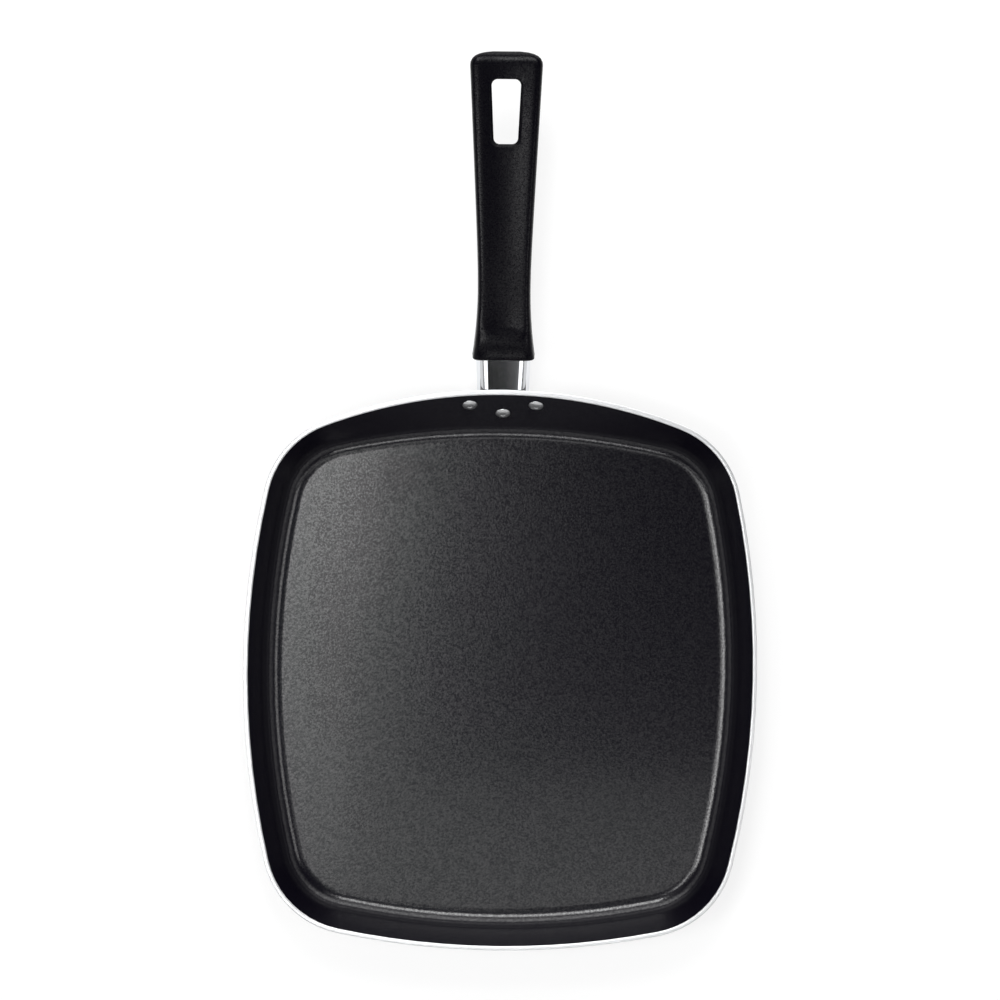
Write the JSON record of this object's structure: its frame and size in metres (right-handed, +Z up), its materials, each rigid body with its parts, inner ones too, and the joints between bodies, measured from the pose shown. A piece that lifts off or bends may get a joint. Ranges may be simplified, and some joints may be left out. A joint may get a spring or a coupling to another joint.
{
  "type": "flat grill pan",
  "caption": "Shallow square non-stick grill pan with rounded corners, bare metal rim and one long riveted handle with a chromed ferrule and a hanging hole.",
  "frame": {"origin": "middle of the flat base, on its underside, where the pan stands", "axes": "+Y from the middle of the pan towards the handle, +X to the right with the handle away from the viewer, +Z up out of the pan"},
  "size_m": [0.2572, 0.4465, 0.0585],
  "materials": {
    "nonstick_aluminium": "pressed aluminium sheet with a black, finely grained non-stick coating; the cut edge of the rim is bare",
    "bare_aluminium": "bare aluminium, satin, as headed",
    "zinc_plated_steel": "bright zinc plate on pressed and turned steel",
    "chromed_steel": "polished chrome plate on drawn steel",
    "moulded_phenolic": "compression-moulded black phenolic, satin, with a flash line round its sides"
  },
  "bodies": {
    "root": {"pan_body": "nonstick_aluminium", "handle_bracket": "zinc_plated_steel", "ferrule": "chromed_steel", "rivet_left": "bare_aluminium", "rivet_right": "bare_aluminium", "rivet_lower": "bare_aluminium", "handle_grip": "moulded_phenolic", "handle_screw": "zinc_plated_steel", "screw_washer": "zinc_plated_steel", "screw_nut": "zinc_plated_steel"}
  },
  "joints": []
}
